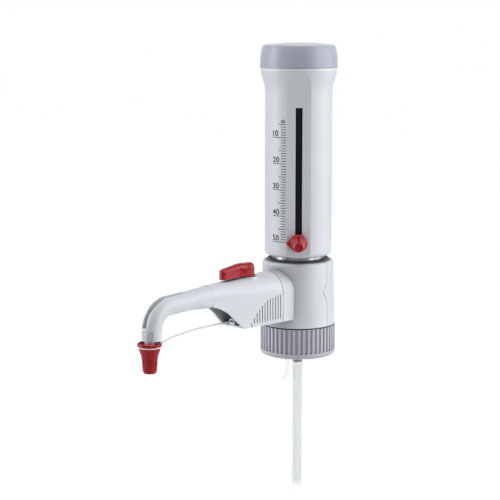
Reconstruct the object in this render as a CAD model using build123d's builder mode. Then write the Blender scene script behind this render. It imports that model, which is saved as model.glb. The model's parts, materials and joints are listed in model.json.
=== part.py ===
# Bottle top dispenser: a hand-driven piston pump that screws onto a laboratory bottle.
# Frame: +Z up along the bottle axis, origin on that axis at the seat of the bottle's rim.
# The discharge arm points along -X. The scale faces the direction SCALE_ANGLE.
# All sizes are in millimetres.
import os
from math import cos, pi, radians, sin, sqrt

from build123d import *

os.makedirs("parts", exist_ok=True)

# ---- driving dimensions -------------------------------------------------------------
running_gap = 0.05          # radial clearance of a shaft that turns or slides in a bore
seat_gap = 0.02             # clearance between pieces that are pushed or screwed together

# bottle side: screw ring for a GL45 neck, plug and seat
ring_radius = 28.4
ring_bottom = -18.6
ring_top = 4.2
ring_band = 4.2             # plain band under the flutes
thread_bore_radius = 21.6
ring_lip_bottom = 1.5       # underside of the inward lip that the flange hangs in
flute_count = 48
flute_depth = 1.2
flute_mouth = 2.5           # width of a flute at the rim
flute_floor = 1.3           # width of its floor
plug_radius = 14.5
plug_length = 8.0
seat_radius = 20.5
seat_thickness = 1.4
spigot_height = 1.2         # how far the plug reaches up into the core
spigot_radius = 13.6        # leaves a relief groove round the spigot
neck_radius = 16.0

# dispensing unit: volume, bore and stroke
volume_ml = 50.0
min_volume_ml = 5.0
bore_radius = 12.8
mm_per_ml = 1000.0 / (pi * bore_radius**2)
stroke = volume_ml * mm_per_ml
cylinder_radius = 14.5
cylinder_bottom = 38.0
cylinder_top = 152.0
piston_bottom = 40.2
piston_length = 9.8
rod_radius = 4.0

# valve block
block_bottom = 5.2
block_top = 53.9
block_radius_bottom = 27.8
block_radius_top = 26.9
block_edge = 3.0
core_radius = 18.0
recess_bottom = 50.2
recess_radius = 24.25
parting_x = 1.1             # the two shells meet near this plane
parting_gap = 0.36
parting_wave = 3.5          # the joint line bows towards the arm beside the thumb recess
thumb_z = 31.0
wave_reach = 10.5           # half the height over which the joint line bows
thumb_angle = 254.0
thumb_sphere = 55.0
thumb_depth = 1.2

# discharge arm; s is the distance from the bottle axis along -X
stub_half_width = 15.0
stub_bottom = 12.5
stub_top = 49.0
stub_end = 35.0             # joint line between the block's stub and the arm cover
slim_start = 104.0
root_radius = 7.6           # round part where it leaves the tapered trough
slim_radius = 7.05
slim_z = 39.6
nozzle_s = 160.2            # axis of the nozzle
arm_end_s = 158.0           # the arm's own axis at its end
arm_end_z = 16.6
window_top = 24.0           # top of the opening for the clear nozzle guard
window_half_width = 5.6
arm_wall = 2.0
joint_chamfer = 0.45        # bevel along the joint between cover and stub
corner_s = 72.6
slit_count = 12
slit_first = 38.0
slit_last = 66.7
slit_width = 0.7
slit_bottom = 15.1
slit_tallest = 33.0
slit_shortest = 15.9
slit_fall = 2.4             # exponent of the curve on which the slits' tops lie
groove_width = 5.0
groove_start = 125.6

# liquid path in the arm
tube_radius = 2.6
tube_bore = 1.3
valve_z = 39.4              # height of the liquid channel in the arm
valve_s = 58.0              # axis of the recirculation valve and its lever
sleeve_radius = 3.5
nozzle_tip = 1.0

# screw cap of the nozzle and its strap
cap_top = 15.2
cap_bottom = -6.1
flange_radius = 8.5
flange_bottom = 12.95
strap_radius = 0.7
strap_ring_z = 12.4
strap_ring_height = 0.9
strap_ring_radius = 8.2

# piston housing
housing_bottom = 57.7
housing_top = 198.1
housing_radius = 25.15
flare_start = 180.5
flare_radius = 28.6
SCALE_ANGLE = 220.0         # direction that the flat scale face looks to
facet_distance = 23.55
housing_wall = 1.9
facet_exit = (28.9, 197.0)    # radius and height at which the scale face leaves the flare
inner_radius = 23.2
inner_top = 188.0
plate_top = 192.0
slot_width = 5.0
slot_bottom = 64.4
slot_top = 169.4

# pointer with its clamp
pointer_z = 69.3            # height of the largest volume
pointer_radius = 6.6
pointer_tip = 9.5
pointer_thickness = 2.2
nut_height = 5.0
nut_half_width = 2.9

# guide sleeve whose collar stops the clamp nut at the end of the stroke
sleeve_outer = 19.0
sleeve_inner = 15.0
foot_radius = 20.5
collar_radius = 20.5
collar_bottom = pointer_z + nut_height / 2 + stroke
collar_height = 2.8

# filling and recirculation tubes in the bottle
fill_outer = 4.5
fill_inner = 3.6
fill_top = -16.0
fill_bottom = -122.0
drop_outer = 3.5
drop_inner = 2.7
drop_top = -28.0
drop_bottom = -128.0
return_radius = 1.6
return_offset = 8.0
return_angle = 131.0
return_bottom = -41.0

# ---- planes -------------------------------------------------------------------------
face_x, face_y = cos(radians(SCALE_ANGLE)), sin(radians(SCALE_ANGLE))
arm_side = Plane(origin=(0, 0, 0), x_dir=(-1, 0, 0), z_dir=(0, 1, 0))
facet_side = Plane(origin=(0, 0, 0), x_dir=(face_x, face_y, 0), z_dir=(face_y, -face_x, 0))


def arm_section(s):
    """Plane across the arm at the distance s from the bottle axis, local y up."""
    return Plane(origin=(-s, 0, 0), x_dir=(0, -1, 0), z_dir=(-1, 0, 0))


def face_plane(distance):
    """Plane parallel to the scale face, local x to the right and local y up."""
    return Plane(origin=(face_x * distance, face_y * distance, 0),
                 x_dir=(-face_y, face_x, 0), z_dir=(face_x, face_y, 0))


def polar(radius, angle):
    """Point in plan at a radius and an angle in degrees."""
    return (radius * cos(radians(angle)), radius * sin(radians(angle)))


def arch(half_width, bottom, top):
    """Cross-section with straight sides and a half-round top."""
    spring = top - half_width
    with BuildSketch(mode=Mode.PRIVATE) as section:
        with BuildLine():
            Polyline((-half_width, spring), (-half_width, bottom), (half_width, bottom),
                     (half_width, spring))
            ThreePointArc((half_width, spring), (0, top), (-half_width, spring))
        make_face()
    return section.sketch


def write(part, label):
    """Label a finished piece and store it."""
    part.part.label = label
    export_step(part.part, f"parts/{label}.step")


# ---- bottle side --------------------------------------------------------------------
with BuildPart() as thread_ring:
    with BuildSketch(Plane.XZ):
        with BuildLine():
            Polyline((thread_bore_radius, ring_bottom), (ring_radius, ring_bottom),
                     (ring_radius, ring_top), (neck_radius + running_gap, ring_top),
                     (neck_radius + running_gap, ring_lip_bottom),
                     (thread_bore_radius, ring_lip_bottom), close=True)
        make_face()
    revolve(axis=Axis.Z)
    foot = thread_ring.edges().filter_by(GeomType.CIRCLE).group_by(Axis.Z)[0]
    fillet(foot.sort_by(SortBy.RADIUS)[-1], 3.0)
    with BuildSketch(Plane.XY.offset(ring_bottom + ring_band)):
        with PolarLocations(ring_radius, flute_count):
            Polygon((-flute_depth, -flute_floor / 2), (-flute_depth, flute_floor / 2),
                    (0.2, flute_mouth / 2 + 0.1), (0.2, -flute_mouth / 2 - 0.1), align=None)
    extrude(amount=ring_top - ring_bottom, mode=Mode.SUBTRACT)
write(thread_ring, "thread_ring")

with BuildPart() as block_seal:
    with BuildSketch(Plane.XY.offset(ring_top + 0.1)):
        Circle(ring_radius - 1.1)
        Circle(neck_radius + 0.1, mode=Mode.SUBTRACT)
    extrude(amount=block_bottom - ring_top - 0.1)
write(block_seal, "block_seal")

# The plug centres the block in the bottle's neck; filling valve and return tube pass through it.
valve_seat_radius = 5.5
with BuildPart() as plug_insert:
    with Locations((0, 0, -plug_length)):
        Cylinder(plug_radius, plug_length - seat_gap, align=(Align.CENTER, Align.CENTER, Align.MIN))
        Cylinder(spigot_radius, plug_length + spigot_height - seat_gap,
                 align=(Align.CENTER, Align.CENTER, Align.MIN))
        Cylinder(valve_seat_radius, 18, align=(Align.CENTER, Align.CENTER, Align.MIN), mode=Mode.SUBTRACT)
        with Locations(polar(return_offset, return_angle)):
            Cylinder(return_radius + seat_gap, 7, align=(Align.CENTER, Align.CENTER, Align.MIN),
                     mode=Mode.SUBTRACT)
write(plug_insert, "plug_insert")

# The core carries the seat flange, the cylinder's socket and the liquid channels.
riser_x = -19.5
channel_z = 28.0
nose_half_width = 7.5
nose_bottom = 21.0
nose_top = 44.5
with BuildPart() as valve_core:
    with BuildSketch(Plane.XZ):
        with BuildLine():
            Polyline((0, spigot_height), (plug_radius + seat_gap, spigot_height),
                     (plug_radius + seat_gap, 0), (seat_radius, 0),
                     (seat_radius, seat_thickness), (neck_radius, seat_thickness),
                     (neck_radius, block_bottom), (core_radius, block_bottom),
                     (core_radius, recess_bottom), (0, recess_bottom), close=True)
        make_face()
    revolve(axis=Axis.Z)
    with BuildSketch(arm_section(core_radius - 4)):
        with Locations((0, (nose_bottom + nose_top) / 2)):
            Rectangle(2 * nose_half_width, nose_top - nose_bottom)
    extrude(amount=stub_end - core_radius)
    with BuildSketch(Plane.XY.offset(cylinder_bottom)):
        Circle(cylinder_radius + seat_gap)
    extrude(amount=recess_bottom - cylinder_bottom, mode=Mode.SUBTRACT)
    with Locations((0, 0, -plug_length)):
        Cylinder(valve_seat_radius, 18, align=(Align.CENTER, Align.CENTER, Align.MIN), mode=Mode.SUBTRACT)
        Cylinder(2.5, 60, align=(Align.CENTER, Align.CENTER, Align.MIN), mode=Mode.SUBTRACT)
    with BuildSketch(Plane.YZ):
        with Locations((0, channel_z - 4)):
            Circle(1.5)
    extrude(amount=riser_x, mode=Mode.SUBTRACT)
    with Locations((riser_x, 0, channel_z - 6)):
        Cylinder(4.5, 14, align=(Align.CENTER, Align.CENTER, Align.MIN), mode=Mode.SUBTRACT)
    with Locations((riser_x, 0, channel_z + 8)):
        Cylinder(2.0, 4, align=(Align.CENTER, Align.CENTER, Align.MIN), mode=Mode.SUBTRACT)
    with BuildSketch(Plane.YZ.offset(riser_x)):
        with Locations((0, valve_z)):
            Circle(2.0)
    extrude(amount=-20, mode=Mode.SUBTRACT)
write(valve_core, "valve_core")


# ---- valve block shells -------------------------------------------------------------
def block_shell(side):
    """One half of the valve block's shell, up to the wavy joint; side is -1 (arm) or +1."""
    with BuildPart(mode=Mode.PRIVATE) as shell:
        with BuildSketch(Plane.XZ):
            with BuildLine():
                Polyline((core_radius + seat_gap, block_bottom), (block_radius_bottom, block_bottom),
                         (block_radius_top, block_top), (recess_radius, block_top),
                         (recess_radius, recess_bottom), (core_radius + seat_gap, recess_bottom),
                         close=True)
            make_face()
        revolve(axis=Axis.Z)
        rims = shell.edges().filter_by(GeomType.CIRCLE).group_by(Axis.Z)[-1]
        fillet(rims.sort_by(SortBy.RADIUS)[-1], block_edge - 0.5)
        # soft scoops for thumb and finger, one on each flank
        reach = 27.4 + thumb_sphere - thumb_depth
        for angle in (thumb_angle, -thumb_angle):
            x, y = polar(reach, angle)
            with Locations((x, y, thumb_z)):
                Sphere(thumb_sphere, mode=Mode.SUBTRACT)
        # keep what lies on this side of the joint
        edge = parting_x + side * parting_gap / 2
        with BuildSketch(Plane.XZ):
            with BuildLine():
                low = Line((edge, 0), (edge, thumb_z - wave_reach))
                wave = Spline(low @ 1, (edge - parting_wave, thumb_z), (edge, thumb_z + wave_reach),
                              tangents=((0, 1), (0, 1)))
                Polyline(wave @ 1, (edge, 60), (edge + side * 50, 60), (edge + side * 50, 0), low @ 0)
            make_face()
        extrude(amount=40, both=True, mode=Mode.INTERSECT)
    return shell.part


front_shell = block_shell(-1)
rear_shell = block_shell(1)

with BuildPart() as block_front:
    add(front_shell)
    with BuildSketch(arm_section(core_radius + 2)):
        add(arch(stub_half_width, stub_bottom, stub_top))
    extrude(amount=stub_end - core_radius - 2)
    with BuildSketch(Plane.XY.offset(block_bottom)):
        Circle(core_radius + seat_gap)
    extrude(amount=recess_bottom - block_bottom, mode=Mode.SUBTRACT)
    with BuildSketch(arm_section(core_radius - 4)):
        with Locations((0, (nose_bottom + nose_top) / 2)):
            Rectangle(2 * nose_half_width + 0.1, nose_top - nose_bottom + 0.1)
    extrude(amount=stub_end, mode=Mode.SUBTRACT)
write(block_front, "block_front")

with BuildPart() as block_rear:
    add(rear_shell)
    with BuildSketch(Plane.YZ.offset(core_radius + 4)):
        with Locations((0, thumb_z)):
            Circle(3.0)
    extrude(amount=10, mode=Mode.SUBTRACT)
write(block_rear, "block_rear")

# Vent plug: a luer stopper in the rear of the block, where a filter or drying tube can go.
with BuildPart() as vent_plug:
    with BuildSketch(Plane.YZ.offset(core_radius + 4.1)):
        with Locations((0, thumb_z)):
            Circle(3.0 - seat_gap)
    extrude(amount=block_radius_top - core_radius - 3)
    with BuildSketch(Plane.YZ.offset(block_radius_bottom + 0.1)):
        with Locations((0, thumb_z)):
            RegularPolygon(4.4, 8)
    extrude(amount=2.2)
    fillet(vent_plug.faces().sort_by(Axis.X)[-1].edges(), 0.6)
write(vent_plug, "vent_plug")

with BuildPart() as locking_ring:
    with BuildSketch(Plane.XZ):
        with BuildLine():
            Polyline((foot_radius + 0.1, recess_bottom), (recess_radius - seat_gap, recess_bottom),
                     (recess_radius - seat_gap, block_top + 0.2), (recess_radius - 1.4, block_top + 1.3),
                     (foot_radius + 0.1, block_top - 1.2), close=True)
        make_face()
    revolve(axis=Axis.Z)
write(locking_ring, "locking_ring")

# ---- dispensing unit on the block ---------------------------------------------------
with BuildPart() as glass_cylinder:
    with BuildSketch(Plane.XY.offset(cylinder_bottom)):
        Circle(cylinder_radius)
        Circle(bore_radius, mode=Mode.SUBTRACT)
    extrude(amount=cylinder_top - cylinder_bottom)
write(glass_cylinder, "glass_cylinder")

with BuildPart() as guide_sleeve:
    with BuildSketch(Plane.XZ):
        with BuildLine():
            Polyline((sleeve_inner, recess_bottom), (foot_radius, recess_bottom),
                     (foot_radius, housing_bottom), (sleeve_outer, housing_bottom + 1.5),
                     (sleeve_outer, collar_bottom), (collar_radius, collar_bottom),
                     (collar_radius, collar_bottom + collar_height),
                     (sleeve_inner, collar_bottom + collar_height), close=True)
        make_face()
    revolve(axis=Axis.Z)
write(guide_sleeve, "guide_sleeve")

# ---- filling valve and tubes --------------------------------------------------------
ball_radius = 2.5
fill_ball_z = 2.0
with BuildPart() as filling_valve:
    with BuildSketch(Plane.XZ):
        with BuildLine():
            Polyline((1.6, -26), (fill_inner - seat_gap, -26), (fill_inner - seat_gap, -15.5),
                     (5.4, -15.5), (5.4, 9.9), (2.6, 9.9), (2.6, 8.0), (3.0, 8.0), (3.0, fill_ball_z),
                     (1.6, fill_ball_z - 2.4), close=True)
        make_face()
    revolve(axis=Axis.Z)
write(filling_valve, "filling_valve")

with BuildPart() as filling_ball:
    with Locations((0, 0, fill_ball_z + 0.25)):
        Sphere(ball_radius)
write(filling_ball, "filling_ball")

with BuildPart() as filling_tube:
    with BuildSketch(Plane.XY.offset(fill_bottom)):
        Circle(fill_outer)
        Circle(fill_inner, mode=Mode.SUBTRACT)
    extrude(amount=fill_top - fill_bottom)
write(filling_tube, "filling_tube")

with BuildPart() as drop_tube:
    with BuildSketch(Plane.XY.offset(drop_bottom)):
        Circle(drop_outer)
        Circle(drop_inner, mode=Mode.SUBTRACT)
    extrude(amount=drop_top - drop_bottom)
    with BuildSketch(Plane.XZ):
        with BuildLine():
            Polyline((-6, drop_bottom), (6, drop_bottom), (6, drop_bottom + 5), close=True)
        make_face()
    extrude(amount=6, both=True, mode=Mode.SUBTRACT)
write(drop_tube, "drop_tube")

# The return tube hangs beside the filling tube, and its end curls to the bottle's wall.
return_x, return_y = polar(return_offset, return_angle)
return_side = Plane(origin=(return_x, return_y, 0),
                    x_dir=(cos(radians(return_angle)), sin(radians(return_angle)), 0),
                    z_dir=(sin(radians(return_angle)), -cos(radians(return_angle)), 0))
with BuildPart() as return_tube:
    with BuildLine(return_side) as return_path:
        drop = Line((0, -plug_length + 5), (0, return_bottom + 8))
        RadiusArc(drop @ 1, (3.6, return_bottom + 1), -8.7)
    with BuildSketch(Plane(origin=return_path.line @ 0, z_dir=return_path.line % 0)):
        Circle(return_radius)
        Circle(return_radius - 0.5, mode=Mode.SUBTRACT)
    sweep(path=return_path.line)
write(return_tube, "return_tube")

# ---- discharge valve, link pipe and recirculation valve -----------------------------
with BuildPart() as discharge_valve:
    with BuildSketch(Plane.XZ):
        with BuildLine():
            Polyline((riser_x + 1.6, channel_z - 5.9), (riser_x + 4.45, channel_z - 5.9),
                     (riser_x + 4.45, channel_z + 7.9), (riser_x + 2.0, channel_z + 7.9),
                     (riser_x + 2.0, channel_z + 6.5), (riser_x + 3.0, channel_z + 6.5),
                     (riser_x + 3.0, channel_z), (riser_x + 1.6, channel_z - 2.4), close=True)
        make_face()
    revolve(axis=Axis((riser_x, 0, 0), (0, 0, 1)))
write(discharge_valve, "discharge_valve")

with BuildPart() as discharge_ball:
    with Locations((riser_x, 0, channel_z + 0.25)):
        Sphere(ball_radius)
write(discharge_ball, "discharge_ball")

valve_body_radius = 7.3
valve_body_bottom = 31.0
valve_body_top = 42.6
spindle_radius = 3.0
boss_top = 48.2
with BuildPart() as return_valve:
    with Locations((-valve_s, 0, valve_body_bottom)):
        Cylinder(valve_body_radius, valve_body_top - valve_body_bottom,
                 align=(Align.CENTER, Align.CENTER, Align.MIN))
        Cylinder(4.6, boss_top - 0.1 - valve_body_bottom, align=(Align.CENTER, Align.CENTER, Align.MIN))
    with BuildSketch(Plane.YZ.offset(-valve_s)):
        with Locations((0, valve_z)):
            Circle(4.4)
    extrude(amount=valve_s - stub_end - 0.1)
    with Locations((-valve_s, 0, valve_body_bottom + 2)):
        Cylinder(spindle_radius + running_gap, 20, align=(Align.CENTER, Align.CENTER, Align.MIN),
                 mode=Mode.SUBTRACT)
    with BuildSketch(Plane.YZ.offset(-valve_s)):
        with Locations((0, valve_z)):
            Circle(1.5)
    extrude(amount=valve_s - stub_end, mode=Mode.SUBTRACT)
    with BuildSketch(arm_section(valve_s)):
        with Locations((0, valve_z)):
            Circle(tube_radius + seat_gap)
    extrude(amount=valve_body_radius + 1, mode=Mode.SUBTRACT)
write(return_valve, "return_valve")

with BuildPart() as lever_spindle:
    with Locations((-valve_s, 0, valve_body_bottom + 2.3)):
        Cylinder(spindle_radius, boss_top + 0.1 - valve_body_bottom - 2.3,
                 align=(Align.CENTER, Align.CENTER, Align.MIN))
    with BuildSketch(Plane.YZ.offset(-valve_s - 4)):
        with Locations((0, valve_z)):
            Circle(1.5)
    extrude(amount=8, mode=Mode.SUBTRACT)
write(lever_spindle, "lever_spindle")

# Lever: round hub on a thin lip, a waist, and a grip that points to the nozzle.
lip_radius = 5.7
lip_height = 1.0
hub_radius = 4.3
grip_half_width = 3.0
tip_half_width = 2.7
waist_half_width = 2.3
tip_s = 87.2
lever_base = boss_top + 0.1
grip_base = 48.95           # underside of the grip, clear of the arm's back
lever_top = 57.7
with BuildPart() as recirculation_lever:
    with BuildSketch(Plane.XY.offset(lever_base)):
        with BuildLine():
            hub_arc = CenterArc((-valve_s, 0), hub_radius, -125, 250)
            side = Spline(hub_arc @ 1, (-valve_s - 6.6, waist_half_width),
                          (-valve_s - 10.5, grip_half_width), tangents=((-0.82, -0.57), (-1, 0.05)))
            edge = Line(side @ 1, (-tip_s + 2.0, tip_half_width))
            tip = Spline(edge @ 1, (-tip_s + 0.6, tip_half_width - 0.7), (-tip_s, 0),
                         (-tip_s + 0.6, 0.7 - tip_half_width), (-tip_s + 2.0, -tip_half_width),
                         tangents=((-1, -0.05), (1, -0.05)))
            back = Line(tip @ 1, (-valve_s - 10.5, -grip_half_width))
            Spline(back @ 1, (-valve_s - 6.6, -waist_half_width), hub_arc @ 0,
                   tangents=((1, 0.05), (0.82, -0.57)))
        make_face()
    extrude(amount=lever_top - lever_base)
    # profile from the side: rounded behind the hub, nearly level, rounded down at the tip
    with BuildSketch(arm_side):
        with BuildLine():
            crown = Spline((valve_s - 6, lever_top - 5.5), (valve_s - 4.4, lever_top - 2.4),
                           (valve_s - 1.8, lever_top - 0.5), (valve_s + 3, lever_top - 0.1),
                           (valve_s + 13, lever_top - 0.4), (valve_s + 23, lever_top - 1.2),
                           (tip_s - 0.6, lever_top - 2.3), (tip_s + 1, lever_top - 4.2))
            Polyline(crown @ 1, (tip_s + 1, lever_top + 5), (valve_s - 6, lever_top + 5), crown @ 0)
        make_face()
    extrude(amount=10, both=True, mode=Mode.SUBTRACT)
    with BuildSketch(arm_side):
        with Locations(((valve_s + 6 + tip_s + 3) / 2, (lever_base + grip_base) / 2 - 1)):
            Rectangle(tip_s + 3 - valve_s - 6, grip_base - lever_base + 2)
    extrude(amount=10, both=True, mode=Mode.SUBTRACT)
    fillet(recirculation_lever.faces().group_by(Axis.Z)[-1].edges(), 0.8)
    with Locations((-valve_s, 0, lever_base)):
        Cylinder(lip_radius, lip_height, align=(Align.CENTER, Align.CENTER, Align.MIN))
write(recirculation_lever, "recirculation_lever")

# Discharge tube: straight through the arm, round the bend and down into the nozzle.
tube_start = valve_s + 3.4
tube_bend = 16.0


def tube_route(end_z):
    """Centre line of the tube from the recirculation valve down to the height end_z."""
    with BuildLine(arm_side, mode=Mode.PRIVATE) as route:
        FilletPolyline((tube_start, valve_z), (nozzle_s, valve_z), (nozzle_s, end_z), radius=tube_bend)
    return route.line


with BuildPart() as discharge_tube:
    with BuildSketch(arm_section(tube_start)):
        with Locations((0, valve_z)):
            Circle(tube_radius)
            Circle(tube_bore, mode=Mode.SUBTRACT)
    sweep(path=tube_route(nozzle_tip))
write(discharge_tube, "discharge_tube")

with BuildPart() as nozzle_sleeve:
    with Locations((-nozzle_s, 0, nozzle_tip + 2)):
        Cylinder(sleeve_radius, window_top - nozzle_tip - 5, align=(Align.CENTER, Align.CENTER, Align.MIN))
        Cylinder(tube_radius + seat_gap, 40, align=(Align.CENTER, Align.CENTER, Align.MIN),
                 mode=Mode.SUBTRACT)
write(nozzle_sleeve, "nozzle_sleeve")

# Clear guard that closes the window on the outer side of the arm's end.
window_back = 156.6
with BuildPart() as nozzle_guard:
    with Locations((-arm_end_s, 0, arm_end_z)):
        Cylinder(slim_radius - 0.03, window_top - arm_end_z - 0.05,
                 align=(Align.CENTER, Align.CENTER, Align.MIN))
    with Locations((-window_back - 10.05, 0, arm_end_z + 5)):
        Box(20, 2 * window_half_width - 0.1, 30, mode=Mode.INTERSECT)
    with Locations((-nozzle_s, 0, arm_end_z)):
        Cylinder(sleeve_radius + seat_gap, 20, align=(Align.CENTER, Align.CENTER, Align.MIN),
                 mode=Mode.SUBTRACT)
write(nozzle_guard, "nozzle_guard")


# ---- arm cover ----------------------------------------------------------------------
def slit_top(s):
    """Height of the slit at s: the row of tops falls away ever faster."""
    share = (s - slit_first) / (slit_last - slit_first)
    return slit_tallest - (slit_tallest - slit_shortest) * share**slit_fall


def half_width(s):
    """Half the arm's width at the distance s, on its taper to the slim part."""
    share = (s - stub_end) / (slim_start - stub_end)
    return stub_half_width + (root_radius - stub_half_width) * share


slim_top = slim_z + root_radius + 0.05
bend_start = 121.0
bend_start_z = 38.95
bend_corner = (arm_end_s, 37.9)
bend_radius = 15.8
groove_bend = 12.0
cover_start = stub_end + 0.1
with BuildPart() as arm_cover:
    # tapering trough with a half-round back
    with BuildSketch(arm_section(cover_start)):
        add(arch(stub_half_width, stub_bottom, stub_top))
    with BuildSketch(arm_section(slim_start)):
        add(arch(root_radius, stub_bottom, slim_top))
    loft()
    chamfer(arm_cover.faces().sort_by(Axis.X)[-1].edges(), joint_chamfer)
    # the arched cut under the arm
    with BuildSketch(arm_side):
        with BuildLine():
            foot = Line((corner_s, stub_bottom - 5), (corner_s, stub_bottom - 0.4))
            flank = Spline(foot @ 1, (77.8, 16.3), (81.9, 20.0), (87.6, 25.1), (94.6, 29.2),
                           (slim_start + 2, slim_z - root_radius + 0.4),
                           tangents=((1, 0.75), (1, 0.12)))
            Polyline(flank @ 1, (slim_start + 2, stub_bottom - 5), foot @ 0)
        make_face()
    extrude(amount=30, both=True, mode=Mode.SUBTRACT)
    # hollow inside, open to the cut
    with BuildSketch(arm_section(cover_start)):
        add(arch(stub_half_width - arm_wall, stub_bottom + arm_wall, stub_top - arm_wall))
    with BuildSketch(arm_section(slim_start - 1)):
        add(arch(root_radius - arm_wall, stub_bottom + arm_wall, slim_top - arm_wall))
    loft(mode=Mode.SUBTRACT)
    # round part: a slight cone, then the bend and the upright end
    with BuildSketch(arm_section(slim_start - 3)):
        with Locations((0, slim_z)):
            Circle(root_radius)
    with BuildSketch(arm_section(bend_start)):
        with Locations((0, bend_start_z)):
            Circle(slim_radius)
    loft()
    with BuildLine(arm_side) as slim_path:
        FilletPolyline((bend_start, bend_start_z), bend_corner, (arm_end_s, arm_end_z), radius=bend_radius)
    with BuildSketch(arm_section(bend_start)):
        with Locations((0, bend_start_z)):
            Circle(slim_radius)
    sweep(path=slim_path.line)
    # channel for the discharge tube
    with BuildSketch(arm_section(tube_start)):
        with Locations((0, valve_z)):
            Circle(tube_radius + 0.1)
    sweep(path=tube_route(arm_end_z - 1), mode=Mode.SUBTRACT)
    # open groove along the outside of the bend
    with BuildSketch(arm_side):
        with BuildLine():
            top = Line((groove_start, slim_z + 12), (groove_start, slim_z + 6))
            slope = Line(top @ 1, (groove_start + 8, valve_z))
            floor = FilletPolyline(slope @ 1, (nozzle_s, valve_z), (nozzle_s, window_top + 1.6),
                                   radius=groove_bend)
            Polyline(floor @ 1, (nozzle_s + 12, window_top + 1.6), (nozzle_s + 12, slim_z + 12), top @ 0)
        make_face()
    extrude(amount=groove_width / 2, both=True, mode=Mode.SUBTRACT)
    # window for the clear guard, and room for the nozzle's sleeve
    with Locations((-window_back - 10, 0, arm_end_z - 1)):
        Box(20, 2 * window_half_width, window_top - arm_end_z + 1,
            align=(Align.CENTER, Align.CENTER, Align.MIN), mode=Mode.SUBTRACT)
    with Locations((-nozzle_s, 0, arm_end_z - 1)):
        Cylinder(sleeve_radius + seat_gap, window_top - arm_end_z + 1,
                 align=(Align.CENTER, Align.CENTER, Align.MIN), mode=Mode.SUBTRACT)
    # boss and hole for the lever's valve
    with Locations((-valve_s, 0, stub_top - 4)):
        Cone(8.2, 6.9, boss_top - stub_top + 4, align=(Align.CENTER, Align.CENTER, Align.MIN))
    with Locations((-valve_s, 0, boss_top)):
        Cylinder(lip_radius + 0.3, 3, align=(Align.CENTER, Align.CENTER, Align.MIN), mode=Mode.SUBTRACT)
    with Locations((-valve_s, 0, stub_top - 12)):
        Cylinder(4.7, 20, align=(Align.CENTER, Align.CENTER, Align.MIN), mode=Mode.SUBTRACT)
    with Locations((-valve_s, 0, stub_top - 12)):
        Cylinder(valve_body_radius + 0.3, valve_body_top + 0.3 - stub_top + 12,
                 align=(Align.CENTER, Align.CENTER, Align.MIN), mode=Mode.SUBTRACT)
    # slot in the bottom lip
    with Locations((-corner_s + 2.2, 0, stub_bottom)):
        Box(2.6, 13, 2 * arm_wall + 1, mode=Mode.SUBTRACT)
    # narrow slits on both flanks, and a notch down to the edge at the end of the row
    pitch = (slit_last - slit_first) / (slit_count - 1)
    for index in range(slit_count):
        s = slit_first + index * pitch
        low = stub_bottom - 1 if index == slit_count - 1 else slit_bottom
        height = slit_top(s) - low
        for side in (-1, 1):
            with Locations((-s, side * half_width(s), low + height / 2)):
                Box(slit_width, 1.6, height, mode=Mode.SUBTRACT)
write(arm_cover, "arm_cover")

# Clip under the arm that holds the strap's end.
clip_s = 76.2
with BuildPart() as strap_clip:
    with Locations((-clip_s + 3.4, 0, stub_bottom + arm_wall)):
        Box(5.5, 5, 4.4, align=(Align.CENTER, Align.CENTER, Align.MIN))
    with BuildSketch(Plane.YZ.offset(-clip_s - 5)):
        with Locations((0, stub_bottom + arm_wall + 2.6)):
            Circle(strap_radius + 0.05)
    extrude(amount=10, mode=Mode.SUBTRACT)
write(strap_clip, "strap_clip")

strap_end_s = nozzle_s - flange_radius - 0.4
strap_route = [(clip_s - 2.0, stub_bottom + arm_wall + 2.6), (112, 17.5), (138, 15.6),
               (strap_end_s, strap_ring_z)]
with BuildPart() as cap_strap:
    with BuildLine(arm_side) as strap_path:
        FilletPolyline(*strap_route, radius=55)
    with BuildSketch(Plane(origin=strap_path.line @ 0, z_dir=strap_path.line % 0)):
        Circle(strap_radius)
    sweep(path=strap_path.line)
write(cap_strap, "cap_strap")

with BuildPart() as strap_ring:
    with Locations((-nozzle_s, 0, strap_ring_z)):
        Cylinder(strap_ring_radius, strap_ring_height)
        Cylinder(7.1, 2, mode=Mode.SUBTRACT)
    chamfer(strap_ring.edges().filter_by(GeomType.CIRCLE).sort_by(SortBy.RADIUS)[-2:], 0.2)
write(strap_ring, "strap_ring")

with BuildPart() as screw_cap:
    with BuildSketch(Plane.XZ):
        with BuildLine():
            axis_x = -nozzle_s
            ring_low = strap_ring_z - strap_ring_height / 2 - 0.07
            body = Spline((axis_x + 7.6, ring_low), (axis_x + 7.1, 9.4), (axis_x + 5.95, 6.2),
                          (axis_x + 5.45, 1.8), (axis_x + 5.1, -2.5), (axis_x + 4.75, cap_bottom + 0.8))
            Polyline(body @ 1, (axis_x + 4.0, cap_bottom), (axis_x, cap_bottom), (axis_x, -3.5),
                     (axis_x + sleeve_radius + 0.1, -3.5), (axis_x + sleeve_radius + 0.1, cap_top - 1.7),
                     (axis_x + flange_radius - 1.5, cap_top - 1.7), (axis_x + flange_radius - 1.1, cap_top),
                     (axis_x + flange_radius - 0.6, cap_top), (axis_x + flange_radius, cap_top - 0.6),
                     (axis_x + flange_radius, flange_bottom + 0.3),
                     (axis_x + flange_radius - 0.3, flange_bottom),
                     (axis_x + 7.0, flange_bottom), (axis_x + 7.0, ring_low), body @ 0)
        make_face()
    revolve(axis=Axis((-nozzle_s, 0, 0), (0, 0, 1)))
    with BuildSketch(Plane.XY.offset(cap_bottom - 1)):
        with Locations((-nozzle_s, 0)):
            with PolarLocations(6.0, 8):
                Circle(1.15)
    extrude(amount=10.5, mode=Mode.SUBTRACT)
write(screw_cap, "screw_cap")

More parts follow.
